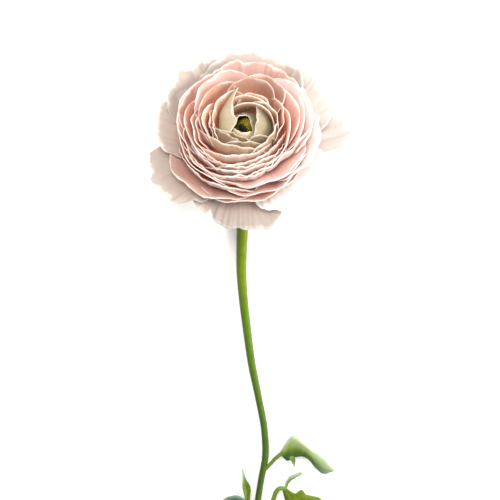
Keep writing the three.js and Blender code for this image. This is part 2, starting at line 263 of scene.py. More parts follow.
def petal_line(rank, rim, slope):
    """The four control points of a petal's middle line, in (radius, height)."""
    root = Vector((mix(*ROOT_RADII, rank), ROOT_HEIGHT * (1 - rank)))
    chord = (rim - root).length
    swing = 1 + WIDER * soft_step(slope, *LEANING)
    first = root + heading(mix(*ROOT_SLOPES, rank), mix(*ROOT_PULL, rank) * chord)
    second = rim - heading(slope, mix(*RIM_PULL, rank) * chord * swing)
    return root, first, second, rim


def line_point(line, t):
    s = 1 - t
    return line[0] * s**3 + line[1] * (3 * s * s * t) + line[2] * (3 * s * t * t) + line[3] * t**3


def line_normal(line, t):
    """The direction away from the eye, square to the line."""
    ahead = (line_point(line, t + 0.01) - line_point(line, t - 0.01)).normalized()
    return Vector((ahead.y, -ahead.x))


print("the rims stand", [round(rim_height(r), 1) for r in (4, 20, 36)], "mm high at 4, 20 and 36 mm")

# %% [markdown]
# ## How a petal crinkles
# The petals are thinner than paper and grew folded in the bud, so they keep fine pleats that run from root
# to rim, a few slow waves, a slightly nibbled edge and a rim that turns outward. Noise gives the pleats,
# because it never repeats, and each petal reads a stretch of its own, picked by its number i. All of it
# fades out towards the root, where petals are smooth.

# %% Pleats and nibbles
PETAL_WALL = 0.32  # mm
FINE = 0.75  # mm between neighbouring points of a petal's mesh, and closer where it is crimped
PLEATS = (1.7, 3.4)  # mm wide, on the innermost and the outermost petals
WRINKLES = (0.9, 1.7)  # mm wide, likewise; they lie on top of the pleats
NICKS = 2.6  # mm between the small nicks of a rim
BITES = 5.5  # mm between its broad bites, which deepen outwards


def pleat_height(i, arc, along, rank):
    """How far petal i is pleated out or in, at arc mm from its middle line."""
    pleat = noise.noise(Vector((arc / mix(*PLEATS, rank**2), 0.9 * along, 3.1 * i)))
    return pleat + 0.6 * noise.noise(Vector((arc / mix(*WRINKLES, rank**2), 1.7 * along, 5.7 * i)))


def rim_nibble(i, arc, rank):
    """How far petal i's rim runs over or falls short there, as a share of the petal's line."""
    nibble = 0.012 * noise.noise(Vector((arc / NICKS, 7.3 * i, 1.0)))
    return nibble + (0.008 + 0.034 * rank**2) * noise.noise(Vector((arc / BITES, 3.9 * i, 5.0)))


def through(low, middle, high, u):
    """The smooth curve that has these values at u = -1, 0 and 1."""
    return middle + (high - low) / 2 * u + ((high + low) / 2 - middle) * u * u


print("pleats are", PLEATS, "mm wide and wrinkles", WRINKLES, "mm")

# %% [markdown]
# ## Light and shade painted on the petals
# The bloom is lit from the right, and broad patches of light and shade across many petals are painted into
# their colour. On the right the petals are painted nearly white, as that light makes them look, and this
# painted light reaches furthest round on the guard petals. At the side that lies on the table the middle
# petals get painted shade and the outer ones a painted pale sheen. At the upper side the guard petals get a
# greyish painted shade. Painting that by hand would tie it to one picture, so each petal gets one number, its
# tone, from its azimuth and rank and a small scatter of its own: up to 1 is painted light and down to -1 is
# painted shade.

# %% Petal tone
LIT_SIDE = math.radians(350)  # azimuth of the side painted in light
SHADE_AND_SHEEN_SIDE = math.radians(100)  # azimuth of the side with painted shade on middle petals and a painted pale sheen on outer ones
GREY_SHADE_SIDE = math.radians(275)  # azimuth of the side where the guard petals get a greyish painted shade


def petal_tone(i, azimuth, rank):
    lamplit, shade_and_sheen, shaded = (math.cos(math.radians(azimuth) - side) for side in (LIT_SIDE, SHADE_AND_SHEEN_SIDE, GREY_SHADE_SIDE))
    # The painted light starts beyond the inner petals, reaches further round on the guard petals, and is half
    # as strong on the very outermost.
    edge = mix(0.2, 0, soft_step(rank, 0.85, 0.95))
    painted_light = soft_step(lamplit, edge, 0.92) * soft_step(rank, 0.36, 0.7)
    tone = 0.1 * vary(i, 5) + painted_light * (1 - 0.5 * soft_step(rank, 0.98, 1))
    # A painted pale sheen on the outer petals and painted shade on the middle ones at the table side, then
    # greyish painted shade on the guard petals at the upper side.
    tone += 0.4 * soft_step(shade_and_sheen, 0.5, 0.95) * soft_step(rank, 0.56, 0.62) * (1 - soft_step(rank, 0.68, 0.8))
    tone -= 0.9 * soft_step(shade_and_sheen, 0.4, 0.9) * soft_step(rank, 0.3, 0.4) * (1 - soft_step(rank, 0.54, 0.6))
    tone -= 0.85 * soft_step(shaded, 0.8, 1) * soft_step(rank, 0.78, 0.88)
    return tone


print("tone of a sunny guard petal:", round(petal_tone(0, 350, 0.9), 2))
print("tone of a limp one:", round(petal_tone(0, 275, 0.9), 2))

# %% [markdown]
# ## Laying one petal
# Now the parts come together. Each line of points from root to rim runs along the petal line for its own
# rim radius, which is why a petal can stand closer to the eye at one end than at the other. The corners are
# rounded off, the rim is nibbled, pleats push the sheet out and in, and the table stops what would sink
# into it.

# %% Petal
ROOT_START = 0.32  # share of the line, from the root, that lies inside the core and is left out
NARROWEST = 8  # mm of radius, from which the width of the innermost petals is reckoned
POINT_STEEPER = 8  # degrees more upright for each mm of a pointed end
ABOVE_TABLE = 0.3  # mm that the middle of a petal's wall keeps from its floor


def lay_petal(
    bm, i, azimuth, turn, rims, slope, lift, crimp, curl, beak=0.0, round_off=0.2, floor=0.0, start=ROOT_START
):
    """Adds petal i. azimuth and turn (half its width) are in degrees, rims are the radii of its rim at one
    end, the middle and the other end, in mm, slope is the steepness of its rim and lift raises that rim above
    the dome of all rims. crimp scales its pleats and curl is how many mm its rim turns outward. beak is how
    many mm its first end runs out into a point, where it also stands more upright and isn't rounded off.
    floor is how low it may come, in mm over the table."""
    rank = rank_of(rims[1])
    half = math.radians(turn) * max(rims[1], NARROWEST)
    length = 18 + 14 * rank  # mm from root to rim, roughly
    ruffle = 0.15 + 0.5 * rank  # mm that slow waves push the rim out and in
    waves = 2.5 + 1.5 * vary(i, 7)  # their number along the rim
    lines = {}

    def line_at(across):
        if across not in lines:
            radius = through(*rims, across)
            radius += ruffle * math.cos(math.pi * waves * (across + 1) + i) + beak * clamp(-across) ** 4
            steepness = slope - POINT_STEEPER * beak * clamp(-across) ** 2
            lines[across] = petal_line(rank, Vector((radius, rim_height(radius) + lift)), steepness)
        return lines[across]

    def place(across, along):
        line = line_at(across)
        arc = across * half
        rounding = 0 if beak and across < 0 else round_off * abs(across) ** 4
        t = along * (1 - rounding + rim_nibble(i, arc, rank) * mix(0.7, 1.5, clamp(crimp - 0.5)))
        point = line_point(line, t)
        fade = soft_step(along, 0.5, 1)  # pleats begin half-way up
        out = crimp * (0.12 + 0.25 * rank) * pleat_height(i, arc, along, rank) * fade
        out += curl * (1 - across**2) * soft_step(along, 0.88, 1) ** 2  # only the end turns outward
        point += line_normal(line, t) * out
        spread = turn * (0.3 + 0.7 * soft_step(along, 0, 0.45))  # a petal is narrow at its foot
        spot = bloom_point(point.x, math.radians(azimuth + across * spread), point.y)
        spot.z = max(spot.z, floor + ABOVE_TABLE)
        return spot

    columns = round(2 * half / (FINE if crimp < 1 else 0.6 * FINE))
    rows = round(length * (1 - start) / FINE)
    tone = petal_tone(i, azimuth, rank)
    lay_grid(bm, columns, rows, place, (2 * half, length), 37 * i, start, ease=0.85, rank=rank, tone=tone)


print("about", round(20 / FINE), "rows of points over 20 mm of petal")

# %% [markdown]
# ## The petals, from the eye outward
# In a real ranunculus each new petal stands about 137 degrees round from the last, but by the time the
# flower has opened every one has found its own place, and this flower's face is made by just those
# accidents. So the petals are listed as they stand. A row gives azimuth, half width in degrees, the rim's
# radius in mm at one end, the middle and the other end, slope, lift, crimp and outward curl of the rim, and
# for a pointed petal also the length of its point.

# %% Petal lists
HEART_PETALS = [
    # The ring round the eye.
    (20, 85, 2.6, 1.9, 3.0, 140, -1.3, 0.3, 0),
    (250, 72, 4.6, 4.9, 2.4, 134, -1.5, 0.3, 0),
    (140, 70, 1.8, 4.0, 4.6, 132, -1, 0.3, 0),
    # The two broad creamy ones that lean in, right and left; the left one ends in a point.
    (355, 80, 6.6, 4.2, 7.2, 148, -0.4, 0.4, 0),
    (161, 60, 13.4, 4.6, 3.8, 160, 0.3, 0.4, 0.3, 3.8),
    # The scalloped ones below the eye.
    (238, 60, 13.0, 7.4, 10.2, 128, 0, 1.4, 0),
    (222, 44, 13.2, 9.6, 8.6, 126, -0.2, 1.6, 0),
    (300, 34, 9.8, 7.9, 11.5, 124, 0, 1.4, 0),
    (266, 44, 10.4, 9.3, 10.6, 124, -0.2, 1.7, 0),
    (240, 68, 20.3, 12.2, 13.0, 116, -0.4, 1, 0.2),
    # The cup of thin rims above the eye.
    (62, 88, 12, 9.1, 8.5, 100, 0, 0.3, 0.4),
    (35, 52, 13, 12.2, 9.0, 92, 0, 0.4, 0.4),
    (78, 52, 11.2, 12.5, 12.2, 88, 0, 0.4, 0.3),
    (68, 42, 11.8, 13.9, 12.4, 80, 0, 0.4, 0.3),
    (192, 20, 13.2, 13.2, 13.0, 96, 0, 0.6, 0.4),
    (178, 32, 16.3, 14.5, 14.5, 90, 0, 0.5, 0.6),
    (142, 48, 18.6, 15.2, 13.2, 78, 0, 0.4, 0.3),
    (322, 52, 13.2, 11.8, 12.4, 108, 0, 0.6, 0.3),
    (12, 44, 13.5, 15.6, 19, 84, 0, 0.5, 0.4),
]
MIDDLE_PETALS = [
    # Left, top and right, whose inner faces show.
    (175, 38, 17.6, 16.4, 15.9, 92, 0.8, 0.5, 1.6),
    (69, 46, 15.5, 25.3, 16.0, 56, 0.5, 0.3, 0.3),
    (85, 40, 19.5, 22.2, 16.5, 64, 0.2, 0.3, 0.3),
    (150, 62, 23.6, 21.2, 16.6, 72, 0, 0.4, 0.4),
    (184, 32, 19.6, 20.1, 19.4, 80, 0, 0.5, 0.4),
    (190, 44, 23.4, 21.5, 21.5, 78, 0, 0.6, 0.6),
    (130, 46, 31, 27, 20.3, 58, 0, 0.6, 0.5),
    (22, 46, 20.8, 22.8, 25.5, 68, 0, 0.4, 0.2),
    (345, 58, 20.8, 18.0, 17.5, 88, 0.3, 0.6, 0.8),
    # Below, whose backs show.
    (258, 68, 21.8, 15.5, 12.3, 104, -0.6, 1.8, 0.1),
    (300, 58, 18.3, 16.1, 15.8, 100, -0.8, 1.9, 0.2),
    (235, 54, 24.2, 20.0, 16.5, 98, -1.2, 1.8, 0.2),
    (285, 54, 21.6, 18.3, 17.3, 98, -0.8, 2.3, 0.3),
    (276, 52, 23.9, 20.0, 18.0, 95, -1.3, 2.5, 0.3),
    (232, 50, 23.4, 22.3, 19.0, 97, -1.8, 1.7, 0.3),
    (248, 62, 27.0, 23.9, 19.0, 96, -2.2, 1.6, 0.3),
    (222, 46, 26.6, 25.6, 25.1, 92, -2.4, 1.5, 0.3),
    (290, 54, 26.0, 21.0, 18.4, 90, -1.4, 2.6, 0.4),
]
OUTER_PETALS = [
    (190, 54, 27.6, 23.8, 20.8, 74, 0, 0.6, 0.8),
    (210, 42, 25.0, 26.2, 26.2, 80, -0.6, 0.6, 0.3),
    (334, 40, 20.9, 21.8, 29.5, 98, 0, 0.8, 0.5),
    (5, 52, 19.5, 24.2, 28.5, 66, 0, 0.5, 0.4),
    (212, 48, 29.6, 27.6, 28, 78, -0.8, 0.6, 0.3),
    (165, 46, 33, 28.8, 26, 66, 0, 0.5, 0.4),
    (140, 46, 30.4, 30.4, 27.3, 60, 0, 0.5, 0.3),
    (234, 44, 29.8, 27.5, 27.3, 94, -3.2, 1.5, 0.3),
    (305, 50, 27.5, 26.0, 27.5, 46, -2.8, 0.8, 0.6),
    (307, 44, 26.9, 26.2, 28.6, 70, -3, 0.8, 0.5),
    (288, 52, 27.9, 28.8, 27.2, 56, -4.5, 0.7, 0.4),
    (232, 50, 34.8, 33.3, 28.3, 50, -5, 0.7, 0.4),
    (282, 54, 32.6, 30.5, 27.0, 58, -5.5, 0.7, 0.4),
    (24, 50, 26.5, 28.5, 30.5, 60, 0.5, 0.8, 0.3),
    (80, 54, 30, 32.0, 31.5, 56, 1.5, 2.0, 0.4),
    (345, 44, 29, 30.5, 31.5, 58, -1, 0.8, 0.3),
]
print(len(HEART_PETALS + MIDDLE_PETALS + OUTER_PETALS), "petals inside the guards")

# %% [markdown]
# ## Guard petals
# The outermost petals opened first and have relaxed: they are wide, pale and loose, droop at the upper side
# and spread flat on the table at the lower side. Each row gives azimuth, half width in degrees, the rim's
# radius at one end, the middle and the other end, its height, its slope, how near the table it may come,
# and how much it crimps.

# %% Guard petal list
GUARD_PETALS = [
    (82, 48, 36.5, 37.2, 38.5, 18.5, 58, 2.7, 2.8),
    (130, 36, 38.5, 39.0, 39.5, 16.5, 45, 1.8, 2.2),
    (43, 35, 40.0, 40.3, 38.5, 15, 42, 0.9, 2.6),
    (318, 40, 37.5, 38.0, 36.5, 8.5, 15, 1.8, 2.8),
    (160, 40, 39.0, 38.6, 37.0, 13.5, 30, 0.9, 2.4),
    (112, 30, 35.0, 35.0, 35.0, 13.5, 55, 0, 1.8),
    (9, 17, 41.5, 42.5, 37.5, 9, 35, 1.8, 3.6),
    (208, 32, 41.0, 42.0, 38.5, 6.5, 10, 1.8, 2.4),
    (271, 31, 36.5, 39.5, 37.0, 2, -18, 1.8, 2.8),
    (246, 27, 36.8, 35.5, 37.0, 3.5, 0, 1.8, 3.0),
]
GUARD_START = 0.06  # share of the line left out at the root, less than inside, because they show lower down
GUARD_ROUNDING = 0.28  # how far their corners are rounded off
GUARD_CURL = 0.5  # mm that their rims turn outward
print(len(GUARD_PETALS), "guard petals")

# %% [markdown]
# ## Petal materials: a waxy film over wet tissue
# A petal is a film of water-filled cells under a waxy skin. That gives the eye three things: light passes
# through and glows pink where petals lie deep, the surface has a satin sheen broken into fine lengthwise
# streaks, and the cut-thin rim looks almost white. The back is paler and silkier than the face, so each gets
# its own colours. They could be painted on an image, but a petal's own values reach further: its rank picks
# two colours from two ramps, a light one for its rim and a deep one for its foot, and its rise blends them.
# The deep foot colour is partly the petal's own and partly the painted glow and shade of the gaps between
# petals, and the white at the very rim is a painted highlight. Its tone then paints light over some petals
# and shade over others.

# %% Streaks
def streaks(tree, sheet, width, length, detail=4, roughness=0.6):
    """Noise drawn out along a sheet, in cells of width by length mm."""
    spot = add(tree, "Mapping", {"Vector": sheet, "Scale": (1 / width, 1 / length, 1)}).outputs["Vector"]
    look = {"Vector": spot, "Scale": 1, "Detail": detail, "Roughness": roughness}
    return add(tree, "TexNoise", look).outputs["Fac"]


PETAL_STREAK = (0.9, 14)  # mm apart and long, as the rows of cells lie
PETAL_CLOUD = (7, 9)  # mm, the blotches in which pink deepens and fades
PETAL_GRAIN = (0.35, 3)  # mm, the silky grain that only catches the light
print("petal streaks are", PETAL_STREAK[0], "mm apart")

# %% Petal materials
RIM_HIGHLIGHT_WHITE = "#FFF8F2"  # painted highlight on the cut-thin rim
# Painted light: the white towards which petals on the lit side, and those with a painted sheen, are mixed.
PAINTED_LIGHT_WHITE = "#FBF4F3"
PAINTED_SHADE_STOPS = [(0.55, "#8C6846"), (0.75, "#918A84")]  # painted shade: brownish on middle petals, greyish on outer ones
WANDER = {"streak": 0.06, "cloud": 0.16}  # how far each shifts the border between deep and light


def petal_material(name, light_stops, deep_stops, start, end, rough, relief_depth, sheen, shade_amount=0.5):
    """Colour by rank, and from deep to light as the petal rises from start to end of its line. shade_amount
    is how much of it the painted shade colour takes over at a tone of -1."""
    material, tree, shader = new_material(name)
    rank = add(tree, "Attribute", attribute_name="rank").outputs["Fac"]
    rise = add(tree, "Attribute", attribute_name="rise").outputs["Fac"]
    tone = add(tree, "Attribute", attribute_name="tone").outputs["Fac"]
    sheet = add(tree, "UVMap", uv_map="sheet").outputs["UV"]
    streak = streaks(tree, sheet, *PETAL_STREAK)
    cloud = streaks(tree, sheet, *PETAL_CLOUD, 2, 0.5)
    grain = streaks(tree, sheet, *PETAL_GRAIN, 2, 0.5)
    # The rise, shifted by streaks and clouds. Noise is about a half, so half of both is taken off again.
    wander = add(tree, "Math", {0: streak, 1: WANDER["streak"], 2: rise}, operation="MULTIPLY_ADD").outputs[0]
    wander = add(tree, "Math", {0: cloud, 1: WANDER["cloud"], 2: wander}, operation="MULTIPLY_ADD").outputs[0]
    wander = add(tree, "Math", {0: wander, 1: sum(WANDER.values()) / 2}, operation="SUBTRACT").outputs[0]
    # Deep at the foot and light towards the rim: partly the petal's own colour, partly painted glow and shade
    # of the gaps between petals.
    # A colour mix has its share at input 0 and its colours at 6 and 7, and gives its result at output 2.
    light = add(tree, "ValToRGB", {"Fac": rank}, light_stops).outputs["Color"]
    deep = add(tree, "ValToRGB", {"Fac": rank}, deep_stops).outputs["Color"]
    share = add(tree, "MapRange", {"Value": wander, "From Min": start, "From Max": end}).outputs["Result"]
    skin = add(tree, "Mix", {0: share, 6: deep, 7: light}, data_type="RGBA").outputs[2]
    # A painted highlight: at the very rim the colour goes up to 0.7 of the way to white.
    rim_highlight = {"Value": wander, "From Min": 0.965, "From Max": 1.01, "To Max": 0.7}
    edge = add(tree, "MapRange", rim_highlight).outputs["Result"]
    skin = add(tree, "Mix", {0: edge, 6: skin, 7: linear(RIM_HIGHLIGHT_WHITE)}, data_type="RGBA").outputs[2]
    # The tone paints light and shade: from 0 up to 1 it mixes towards the painted light white, and from 0
    # down to -1 towards the painted shade colours.
    light_share = add(tree, "MapRange", {"Value": tone, "From Max": 1.0, "To Max": 0.86}).outputs["Result"]
    lit_skin = add(tree, "Mix", {0: light_share, 6: skin, 7: linear(PAINTED_LIGHT_WHITE)}, data_type="RGBA").outputs[2]
    below_zero = {"Value": tone, "From Min": 0.0, "From Max": -1.0, "To Max": shade_amount}
    shaded = add(tree, "MapRange", below_zero).outputs["Result"]
    shade_colour = add(tree, "ValToRGB", {"Fac": rank}, PAINTED_SHADE_STOPS).outputs["Color"]
    final = add(tree, "Mix", {0: shaded, 6: lit_skin, 7: shade_colour}, data_type="RGBA").outputs[2]
    tree.links.new(final, shader.inputs["Base Color"])
    # Satin wax, rougher on some streaks than on others, over a relief of streaks and grain.
    satin = {"Value": streak, "To Min": rough - 0.12, "To Max": rough + 0.12}
    tree.links.new(add(tree, "MapRange", satin).outputs["Result"], shader.inputs["Roughness"])
    relief = add(tree, "Math", {0: grain, 1: 0.35, 2: streak}, operation="MULTIPLY_ADD").outputs[0]
    bump = add(tree, "Bump", {"Height": relief, "Strength": 0.6, "Distance": relief_depth}).outputs["Normal"]
    tree.links.new(bump, shader.inputs["Normal"])
    shader.inputs["IOR"].default_value = 1.4
    shader.inputs["Specular IOR Level"].default_value = 0.3
    shader.inputs["Sheen Weight"].default_value = sheen
    shader.inputs["Sheen Roughness"].default_value = 0.35
    # Light that comes through from behind takes the same colour, and a little under half of the whole.
    glow = add(tree, "BsdfTranslucent", {"Color": final, "Normal": bump}).outputs["BSDF"]
    both = add(tree, "MixShader", {0: 0.45, 1: shader.outputs["BSDF"], 2: glow}).outputs["Shader"]
    tree.links.new(both, tree.nodes["Material Output"].inputs["Surface"])
    return material


# %% Petal colours
# By rank, from the eye at 0 to the guard petals at 1. A ramp's two ends come first, then its inner stops.
# The deep ramps lay painted glow and shade of the gaps between petals over the petal's own colour.
FACE_LIGHT = [
    (0, "#C4B684"), (1, "#C4B9AF"), (0.12, "#E0C6A2"), (0.28, "#E8C4AE"),
    (0.5, "#DAB2A2"), (0.72, "#D2A596"), (0.84, "#D6CBC4"),
]
FACE_DEEP = [
    (0, "#94843A"), (1, "#C6AFA1"), (0.14, "#E6AA80"), (0.3, "#FAB496"),
    (0.55, "#F8AA94"), (0.74, "#DA9480"), (0.85, "#D4B8AC"),
]
BACK_LIGHT = [
    (0, "#A0926E"), (1, "#BDB3A9"), (0.02, "#E9DCC2"), (0.06, "#A8956C"), (0.1, "#846E4A"),
    (0.22, "#CDB598"), (0.34, "#F6E8DE"), (0.6, "#FFF6F2"), (0.85, "#DCD2CB"),
]
BACK_DEEP = [
    (0, "#807444"), (1, "#B4A89C"), (0.02, "#CFBF98"), (0.06, "#967F50"), (0.1, "#745636"),
    (0.22, "#D6A47E"), (0.34, "#F8B296"), (0.58, "#FAAE98"), (0.85, "#D2BCB0"),
]
# The wall's rim is deep near the foot and nearly white at the top, where the white is a painted highlight.
RIM_LIGHT = [(0, "#E2DAC0"), (1, "#E6DED6"), (0.1, "#EEE6D4"), (0.3, "#FFFAF6")]
RIM_DEEP = [(0, "#BCAC80"), (1, "#C4B8AC"), (0.1, "#BCA47C"), (0.3, "#DFB49E"), (0.7, "#E4C2B4")]
PETAL_BACK = petal_material("silky_petal_back", BACK_LIGHT, BACK_DEEP, 0.55, 0.94, 0.34, 0.0011, 0.3)
PETAL_FACE = petal_material("smooth_petal_face", FACE_LIGHT, FACE_DEEP, 0.6, 1.0, 0.5, 0.0003, 0.04)
PETAL_RIM = petal_material("thin_petal_rim", RIM_LIGHT, RIM_DEEP, 0.97, 1.03, 0.45, 0.0003, 0.04, 0.1)
PETAL_SIDES = [PETAL_BACK, PETAL_FACE, PETAL_RIM]
print("petal sides:", [side.name for side in PETAL_SIDES])

# %% [markdown]
# ## The core
# All petals stand on the receptacle, a swollen green-white knob that nobody sees. It is turned like a bowl:
# a few points joined by edges make the half outline, and one full spin closes it. What might show of it
# down a narrow gap has to look like the feet of petals, so it wears their face colours, olive under the eye
# and rosy further out. Its underside has the paler colour of the rims.

# %% Core
# Radius and height in mm, from the middle of the foot round to the middle of the top.
RECEPTACLE = [(0, 0), (8, 0), (14, 2), (17, 5.5), (17.5, 9), (14.5, 12.5), (9, 14.4), (6.2, 14), (0, 14)]
CORE_TOP = 14  # mm over the base
OLIVE_TO_ROSE = (6, 12)  # mm from the middle of the top, between which its rank rises
CORE_RANK = 0.3  # its rank there and further out
CORE_RISE = 0.3  # near the foot of the petals
UNDERSIDE = 9  # mm over the base


def spin_outline(bm, outline, steps):
    """Turns a closed outline of (radius, height) once round the bloom's axis."""
    verts = [bm.verts.new((radius, 0, height)) for radius, height in outline]
    edges = [bm.edges.new(pair) for pair in zip(verts, verts[1:])]
    bmesh.ops.spin(bm, geom=verts + edges, axis=(0, 0, 1), angle=2 * math.pi, steps=steps, use_merge=True)
    bmesh.ops.remove_doubles(bm, verts=bm.verts, dist=1e-4)
    bmesh.ops.recalc_face_normals(bm, faces=bm.faces)
    bm.transform(TO_BLOOM)


bm = new_sheet()
spin_outline(bm, RECEPTACLE, 40)
for vert in bm.verts:
    from_top = (vert.co - bloom_point(0, 0, CORE_TOP)).length
    vert[bm.verts.layers.float["rank"]] = CORE_RANK * soft_step(from_top, *OLIVE_TO_ROSE)
    vert[bm.verts.layers.float["rise"]] = CORE_RISE
for face in bm.faces:
    if (face.calc_center_median() - BASE).dot(AXIS) < UNDERSIDE:
        face.material_index = 1
finish_piece(bm, "petals_core", "petals", [PETAL_FACE, PETAL_RIM])

# %% [markdown]
# ## Standing the petals round the core
# The petals are laid in four pieces, from the heart to the guards, so that no mesh grows too heavy. Within
# a piece they are separate sheets, and one Solidify modifier gives all of them their wall. It also hands
# the back, the face and the rim of that wall a material each.

# %% Inner petals
def petal_piece(name, petals, first):
    """One piece from a list of petals. first is the number of its first petal, which picks its accidents."""
    bm = new_sheet()
    for i, (azimuth, turn, low, middle, high, slope, lift, crimp, curl, *beak) in enumerate(petals):
        lay_petal(bm, first + i, azimuth, turn, (low, middle, high), slope, lift, crimp, curl, sum(beak))
    finish_piece(bm, name, "petals", PETAL_SIDES, ["bloom_petals"], PETAL_WALL)


petal_piece("petals_heart", HEART_PETALS, 0)
petal_piece("petals_middle", MIDDLE_PETALS, 20)
petal_piece("petals_outer", OUTER_PETALS, 40)

# %% Guard petals
bm = new_sheet()
for j, (azimuth, turn, low, middle, high, height, slope, floor, crimp) in enumerate(GUARD_PETALS):
    lay_petal(
        bm, 60 + j, azimuth, turn, (low, middle, high), slope, height - rim_height(middle), crimp, GUARD_CURL,
        round_off=GUARD_ROUNDING, floor=floor, start=GUARD_START,
    )
finish_piece(bm, "petals_guard", "petals", PETAL_SIDES, ["bloom_petals"], PETAL_WALL)

# %% [markdown]
# ## Fresh green tissue
# Stem, sepals and leaves are the same stuff: green cells under a thin wax that scatters a soft light. What
# differs is colour. The stem is yellow-green under the bloom and cooler further down, and leaves are paler
# along one side where they curl over. One function makes them all, from a ramp of colours over one value of
# the sheet. A stalk also has a tone that runs round it, which paints light on one of its sides and shade on
# the other.

# %% Green material
PALE_TIP = "#B4C0B0"
FIBRE = 18  # mm, length of the streaks
PATCH = 4  # mm, size of the cloudy patches
FIBRE_RELIEF = 0.00025  # m


def green_material(name, stops, source="across", low=-1.0, high=1.0, vein=1.2, rough=0.42, tip=0.0):
    """A waxy green whose ramp runs over one value of the sheet, source, from low to high. vein is the spacing
    of its streaks in mm, and tip is how far a lobe pales towards its end."""
    material, tree, shader = new_material(name)
    where = add(tree, "Attribute", attribute_name=source).outputs["Fac"]
    sheet = add(tree, "UVMap", uv_map="sheet").outputs["UV"]
    streak = streaks(tree, sheet, vein, FIBRE)
    cloud = add(tree, "TexNoise", {"Vector": sheet, "Scale": 1 / PATCH, "Detail": 3}).outputs["Fac"]
    spot = add(tree, "MapRange", {"Value": where, "From Min": low, "From Max": high}).outputs["Result"]
    shaken = add(tree, "Math", {0: streak, 1: 0.2, 2: spot}, operation="MULTIPLY_ADD").outputs[0]
    shaken = add(tree, "Math", {0: shaken, 1: 0.1}, operation="SUBTRACT").outputs[0]
    colour = add(tree, "ValToRGB", {"Fac": shaken}, stops).outputs["Color"]
    # Patches and the tone change how bright it is, and the tone also how strong its green. Round a stalk the
    # tone is painted shade where it is 1 and painted light where it is -1. On a leaf lobe it is a small
    # scatter of its own.
    patchy = {"Value": cloud, "From Min": 0.3, "From Max": 0.7, "To Min": 0.86, "To Max": 1.12}
    shade = add(tree, "MapRange", patchy).outputs["Result"]
    tone = add(tree, "Attribute", attribute_name="tone").outputs["Fac"]
    darkening = {"Value": tone, "From Min": -1.0, "To Min": 1.32, "To Max": 0.52}
    side = add(tree, "MapRange", darkening).outputs["Result"]
    deepening = {"Value": tone, "From Min": -1.0, "To Min": 0.86, "To Max": 1.3}
    strength = add(tree, "MapRange", deepening).outputs["Result"]
    value = add(tree, "Math", {0: shade, 1: side}, operation="MULTIPLY").outputs[0]
    tinted = {"Color": colour, "Saturation": strength, "Value": value}
    final = add(tree, "HueSaturation", tinted).outputs["Color"]
    if tip:
        rise = add(tree, "Attribute", attribute_name="rise").outputs["Fac"]
        paling = add(tree, "MapRange", {"Value": rise, "From Min": 0.6, "To Max": tip}).outputs["Result"]
        final = add(tree, "Mix", {0: paling, 6: final, 7: linear(PALE_TIP)}, data_type="RGBA").outputs[2]
    tree.links.new(final, shader.inputs["Base Color"])
    waxy = {"Value": cloud, "To Min": rough - 0.08, "To Max": rough + 0.1}
    tree.links.new(add(tree, "MapRange", waxy).outputs["Result"], shader.inputs["Roughness"])
    bump = add(tree, "Bump", {"Height": streak, "Strength": 0.6, "Distance": FIBRE_RELIEF}).outputs["Normal"]
    tree.links.new(bump, shader.inputs["Normal"])
    shader.inputs["IOR"].default_value = 1.42
    shader.inputs["Specular IOR Level"].default_value = 0.3
    shader.inputs["Subsurface Weight"].default_value = 0.25
    shader.inputs["Subsurface Radius"].default_value = (0.5, 1.0, 0.2)
    shader.inputs["Subsurface Scale"].default_value = 0.0012
    return material


# %% [markdown]
# ## The stem's line
# The stem leaves the calyx straight, bends down through the neck and then lies on the table in a slow
# curve. We repeat the solid model's points and pass a spline through them. Of the splines that run through
# their points the centripetal kind is used, because it never loops or overshoots where points stand close
# together.

# %% Smooth lines
SAMPLES = 800  # short straight steps in which a line's length is measured


def smooth_line(points, t):
    """The point at share t of a centripetal spline through points."""
    last = len(points) - 1
    i = min(int(t * last), last - 1)
    w = t * last - i
    p1, p2 = points[i], points[i + 1]
    p0 = points[i - 1] if i else 2 * p1 - p2
    p3 = points[i + 2] if i + 2 <= last else 2 * p2 - p1
    d0, d1, d2 = (max((b - a).length ** 0.5, 1e-4) for a, b in ((p0, p1), (p1, p2), (p2, p3)))
    m1 = ((p1 - p0) / d0 - (p2 - p0) / (d0 + d1) + (p2 - p1) / d1) * d1
    m2 = ((p2 - p1) / d1 - (p3 - p1) / (d1 + d2) + (p3 - p2) / d2) * d1
    return p1 + m1 * w + (3 * (p2 - p1) - 2 * m1 - m2) * w**2 + (2 * (p1 - p2) + m1 + m2) * w**3


def even_line(points, count):
    """count + 1 points at even distances along the smooth line, and its length."""
    fine = [smooth_line(points, k / SAMPLES) for k in range(SAMPLES + 1)]
    reach = [0.0]
    for a, b in zip(fine, fine[1:]):
        reach.append(reach[-1] + (b - a).length)
    spots = []
    k = 0
    for j in range(count + 1):
        goal = reach[-1] * j / count
        while k < SAMPLES - 1 and reach[k + 1] < goal:
            k += 1
        spots.append(fine[k].lerp(fine[k + 1], clamp((goal - reach[k]) / (reach[k + 1] - reach[k]))))
    return spots, reach[-1]


# %% Stem course
STEM_RADII = [2.9, 2.75, 2.4, 2.05, 1.85, 1.65, 1.6, 1.5, 1.5, 1.5]  # mm, evenly spaced along the stem
STEM_COURSE = [
    (-2.2, -53), (-1.8, -65), (0, -83), (2.6, -103), (6, -121), (8.5, -136),
    (8.9, -150), (7.2, -161), (5.5, -173), (3.6, -191), (2.6, -217),
]
FACET = math.cos(math.pi / 12)  # the solid stem has twelve sides and lies on one of them
PRESS = 0.05  # mm that its underside is pressed flat
LYING_FROM = 0.16  # share of the stem where its course on the table begins
NECK_BEND = 17.0  # mm, radius of the neck's bend
STEM_TOP = -2.7  # mm along the bloom's axis, under the calyx
NECK_ASIDE = -0.66  # mm that the neck has moved aside where it ends


def stem_radius(share):
    spot = clamp(share) * (len(STEM_RADII) - 1)
    low = min(int(spot), len(STEM_RADII) - 2)
    return mix(STEM_RADII[low], STEM_RADII[low + 1], spot - low)


